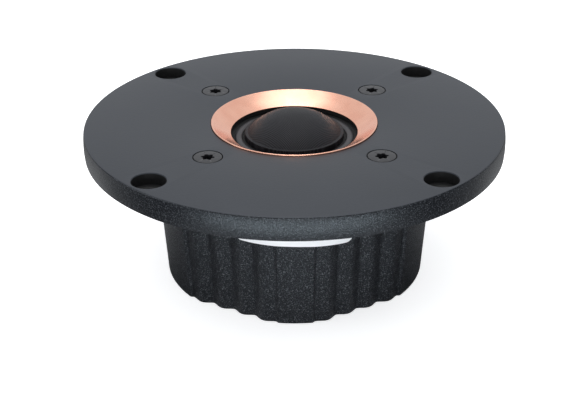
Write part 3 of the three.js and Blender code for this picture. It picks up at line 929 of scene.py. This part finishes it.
# ------------------------------------------------------------------ label
LABEL_START, LABEL_END = -26.0, 24.5
LABEL_GAP = 0.2 * MM
LABEL_T = 0.12 * MM
LABEL_CORNER = 2.6 * MM
LABEL_ROUND = 6.0  # degrees each side of the front over which the film lies on the round stretch
LABEL_FALL = 2.1 * MM
SAG_ANGLE = 20.0  # degrees at which the lower edge has sagged by SAG_TILT + SAG_BOW
SAG_TILT = 0.35 * MM
SAG_BOW = 0.5 * MM
COLUMNS, ROWS = 96, 24


def label_point(across, up, lift):
    """A point on the film, lift above its underside. across and up run from 0 to 1."""
    degrees = LABEL_START + (LABEL_END - LABEL_START) * across
    turn = degrees / SAG_ANGLE
    z = label_high.z - (label_high.z - label_low.z + SAG_TILT * turn + SAG_BOW * turn ** 2) * (1 - up)
    past = max(0.0, abs(degrees) - LABEL_ROUND) / (abs(LABEL_START) - LABEL_ROUND)
    base = BASE_R + LABEL_GAP - LABEL_FALL * past ** 1.6
    x, y = from_front((base + lift) * housing_scale(z), degrees)
    return x, y, z


def label_bottom(across):
    """How far up the film starts in this column, for its rounded lower corners."""
    width = math.radians(LABEL_END - LABEL_START) * BASE_R
    from_side = min(across, 1 - across) * width
    if from_side >= LABEL_CORNER:
        return 0.0
    rise = LABEL_CORNER - math.sqrt(LABEL_CORNER ** 2 - (LABEL_CORNER - from_side) ** 2)
    return rise / (label_high.z - label_low.z)


def label():
    """Blank film over the round stretch, bent in on both sides to the nearest ribs' crests."""
    vertices = []
    for lift in (0.0, LABEL_T):
        for column in range(COLUMNS + 1):
            across = column / COLUMNS
            bottom = label_bottom(across)
            for row in range(ROWS + 1):
                vertices.append(label_point(across, bottom + (1 - bottom) * row / ROWS, lift))
    stride = ROWS + 1
    layer = (COLUMNS + 1) * stride
    faces = []
    for column in range(COLUMNS):
        for row in range(ROWS):
            a = column * stride + row
            quad = (a, a + stride, a + stride + 1, a + 1)
            faces.append(tuple(reversed(quad)))
            faces.append(tuple(layer + v for v in quad))
    rim = [c * stride for c in range(COLUMNS + 1)]
    rim += [COLUMNS * stride + r for r in range(1, ROWS + 1)]
    rim += [c * stride + ROWS for c in range(COLUMNS - 1, -1, -1)]
    rim += list(range(ROWS - 1, 0, -1))
    for k, v in enumerate(rim):
        w = rim[(k + 1) % len(rim)]
        faces.append((v, w, layer + w, layer + v))
    film = mesh_object("label_film", vertices, faces)
    face_outwards(film)
    finish_piece(film, "frame", "label", [LABEL], angle=40)


# ------------------------------------------------------------------ terminals
TAB_W = 6 * MM
TAB_T = 0.8 * MM
TAB_HOLE_R = 1.8 * MM
EYE_R = 0.7 * MM
EYE_FROM_TIP = 2.6 * MM
RIVET_SHANK_R = 1.5 * MM
RIVET_HEAD_R = 2.3 * MM
RIVET_DISH = 0.3 * MM


def across_y(name, profile, x, z):
    """A profile of (r, y) points turned about a line along Y."""
    obj = turned(name, profile, 40, closed=False)
    obj.data.transform(Matrix.Translation((x, 0, z)) @ Matrix.Rotation(-math.pi / 2, 4, "X"))
    return obj


def hole_along_y(x, z, radius, low_y, high_y):
    """Cutter: a plain round hole."""
    profile = [(0, low_y), (radius, low_y), (radius, high_y), (0, high_y)]
    return across_y("hole", profile, x, z)


def terminals():
    """Board on the housing's pad, with two riveted solder tabs of different widths."""
    board = slab("board", board_high - board_low, (board_high + board_low) / 2, 0.25 * MM)
    cut(board, [
        hole_along_y(side * RIVET_X, TERMINAL_Z, TAB_HOLE_R, board_low.y - CLEAR, board_high.y + CLEAR)
        for side in (-1, 1)
    ])
    finish_piece(board, "frame", "terminal_board", [PHENOLIC])
    for side, polarity, blade_width in ((1, "positive", 4.8 * MM), (-1, "negative", 2.8 * MM)):
        low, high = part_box(f"terminal_{polarity}")
        x = side * RIVET_X
        foot = slab(f"tab_{polarity}", (TAB_W, TAB_T, high.z - low.z),
                    (x, low.y + TAB_T / 2, (low.z + high.z) / 2), 0.12 * MM)
        blade = slab("blade", (blade_width, high.y - low.y, TAB_T),
                     (x, (low.y + high.y) / 2, low.z + TAB_T / 2), 0.15 * MM)
        combine(foot, [blade], "UNION")
        eye = post("eye", EYE_R, low.z - CLEAR, low.z + 2 * CLEAR, 32)
        eye.data.transform(Matrix.Translation((x, high.y - EYE_FROM_TIP, 0)))
        cut(foot, [hole_along_y(x, TERMINAL_Z, TAB_HOLE_R, low.y - CLEAR, low.y + 2 * CLEAR), eye])
        finish_piece(foot, "frame", f"terminal_{polarity}", [BRASS])
        rivet_low, rivet_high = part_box(f"rivet_{polarity}")
        head_y = low.y + TAB_T
        profile = filleted([
            (0, rivet_low.y, 0),
            (RIVET_SHANK_R, rivet_low.y, 0),
            (RIVET_SHANK_R, head_y, 0),
            (RIVET_HEAD_R, head_y, 0.1 * MM),
            (2.0 * MM, head_y + 0.65 * MM, 0.3 * MM),
            (1.0 * MM, rivet_high.y, 0.3 * MM),
            (0.8 * MM, head_y + RIVET_DISH, 0.1 * MM),
            (0, head_y + RIVET_DISH, 0),
        ], closed=False)
        rivet = across_y(f"rivet_head_{polarity}", profile, x, TERMINAL_Z)
        finish_piece(rivet, "frame", f"rivet_{polarity}", [BRASS])


# ------------------------------------------------------------------ CAD nodes that stay as they are
def dress_hidden_nodes():
    """Materials for the pieces inside, whose CAD shapes are kept."""
    finishes = {
        "voice_coil_former": FOIL,
        "voice_coil": BARE_COPPER,
        "mounting_ring": BLACK_PLASTIC,
        "tinsel_lead_left": BARE_COPPER,
        "tinsel_lead_right": BARE_COPPER,
        "front_plate": STEEL,
        "magnet_ring": FERRITE,
        "back_plate": STEEL,
        "pole_piece": STEEL,
        "shorting_cap": BARE_COPPER,
        "pole_damper": FELT,
        "chamber_damping": FELT,
        "housing_gasket": FOAM,
        "lead_positive": RED_SLEEVE,
        "lead_negative": BLACK_SLEEVE,
    }
    for node, material in finishes.items():
        obj = CAD[node]
        obj.data.materials.clear()
        obj.data.materials.append(material)


# ------------------------------------------------------------------ studio
def sky():
    """Bright behind, above and in front, and dark low down at the two sides."""
    world = bpy.data.worlds.new("studio")
    bpy.context.scene.world = world
    world.use_nodes = True
    tree = world.node_tree
    background = tree.nodes["Background"]
    place = tree.nodes.new("ShaderNodeTexCoord")
    fold = tree.nodes.new("ShaderNodeVectorMath")
    fold.operation = "ABSOLUTE"
    tree.links.new(place.outputs["Generated"], fold.inputs[0])
    towards = tree.nodes.new("ShaderNodeVectorMath")
    towards.operation = "DOT_PRODUCT"
    towards.inputs[1].default_value = (0.0, 1.0, 1.1)
    tree.links.new(fold.outputs["Vector"], towards.inputs[0])
    shade = tree.nodes.new("ShaderNodeValToRGB")
    fill_ramp(shade.color_ramp, [
        (0.2, (0.06, 0.065, 0.075)),
        (0.5, (0.36, 0.38, 0.42)),
        (0.8, (0.78, 0.81, 0.86)),
        (1.0, (0.86, 0.88, 0.91)),
    ])
    tree.links.new(towards.outputs["Value"], shade.inputs["Fac"])
    tree.links.new(shade.outputs["Color"], background.inputs["Color"])


def softbox(name, place, aim, width, height, radiance, color=(1, 1, 1)):
    """A rectangular light whose face has the given brightness at any size."""
    light = bpy.data.lights.new(name, "AREA")
    light.shape = "RECTANGLE"
    light.size = width
    light.size_y = height
    light.energy = radiance * math.pi * width * height
    light.color = color
    obj = bpy.data.objects.new(name, light)
    obj.location = place
    direction = Vector(aim) - Vector(place)
    obj.rotation_euler = direction.to_track_quat("-Z", "Y").to_euler()
    bpy.context.scene.collection.objects.link(obj)


def floor():
    """White sweep. In what the tweeter reflects, the table is bright in front and darker elsewhere."""
    far = 6.0
    corners = [(-far, -far, 0), (far, -far, 0), (far, far, 0), (-far, far, 0)]
    sheet = mesh_object("floor", corners, [(0, 1, 2, 3)])
    pale = Paint("pale_floor", (0.9, 0.9, 0.9), 0.6)
    pale.set("Emission Color", (1.0, 1.0, 1.0, 1.0))
    pale.set("Emission Strength", 0.6)
    x, y, _ = pale.xyz()
    azimuth = pale.math("ARCTAN2", pale.math("ABSOLUTE", x), pale.math("MULTIPLY", y, -1.0))
    half_turns = pale.math("MULTIPLY", azimuth, 1 / math.pi)
    table = pale.node("ShaderNodeBsdfDiffuse")
    shades = [(0.17, 0.85), (0.33, 0.12), (0.49, 0.33), (0.58, 0.5), (0.72, 0.2)]
    pale.join(pale.ramp(half_turns, shades), table.inputs["Color"])
    path = pale.node("ShaderNodeLightPath")
    both = pale.node("ShaderNodeMixShader")
    pale.join(path.outputs["Is Camera Ray"], both.inputs[0])
    pale.join(table.outputs[0], both.inputs[1])
    pale.join(pale.shader.outputs[0], both.inputs[2])
    pale.join(both.outputs[0], pale.tree.nodes["Material Output"].inputs["Surface"])
    sheet.data.materials.append(pale.material)


def studio():
    """A white sweep under overhead softboxes, with a low card in front and a light at the left.

    The light behind the top gives the dome its soft highlight.
    """
    bpy.context.scene.view_settings.view_transform = "Standard"
    sky()
    floor()
    softbox("overhead", (0.0, 0.05, 0.8), (0.0, 0.05, 0), 0.62, 0.5, 1.15)
    softbox("overhead_mid", (0.0, 0.05, 0.79), (0.0, 0.05, 0), 0.34, 0.42, 0.4)
    softbox("overhead_core", (0.0, 0.05, 0.78), (0.0, 0.05, 0), 0.16, 0.36, 0.35)
    softbox("behind_top", (0.0, 0.38, 0.74), (0, 0, 0.04), 0.16, 0.12, 12.0)
    softbox("left", (-0.6, -0.1, 0.25), (0, 0, 0.03), 0.3, 0.4, 1.5)
    softbox("front_low", (0, -0.8, 0.12), (0, 0, 0.03), 0.4, 0.16, 5.0, (0.95, 0.98, 1.0))
    softbox("front_card", (0, -0.15, 0.003), (0, -0.15, 1), 0.24, 0.016, 16.0, (0.85, 0.95, 1.0))


def camera():
    """Raised view from the front, at the photo's angle."""
    distance = 407.4 * MM
    elevation = math.radians(23.445)
    orbit = math.radians(-0.31)
    tilt_down = math.radians(3.288)
    pan = math.radians(0.212)
    roll = math.radians(-0.29)
    target = Vector((0, 0, PLATE_TOP))
    offset = Vector((0, -distance * math.cos(elevation), distance * math.sin(elevation)))
    offset.rotate(Euler((0, 0, orbit)))
    data = bpy.data.cameras.new("camera")
    data.sensor_width = 36
    data.lens = 84.81
    data.clip_start = 0.01
    obj = bpy.data.objects.new("camera", data)
    obj.location = target + offset
    tilt = math.pi / 2 - elevation - tilt_down
    look = Matrix.Rotation(orbit + pan, 4, "Z") @ Matrix.Rotation(tilt, 4, "X")
    obj.rotation_euler = (look @ Matrix.Rotation(roll, 4, "Z")).to_euler()
    bpy.context.scene.collection.objects.link(obj)
    bpy.context.scene.camera = obj


camera()
studio()
faceplate()
screws()
flare()
dome()
surround()
housing()
label()
terminals()
dress_hidden_nodes()
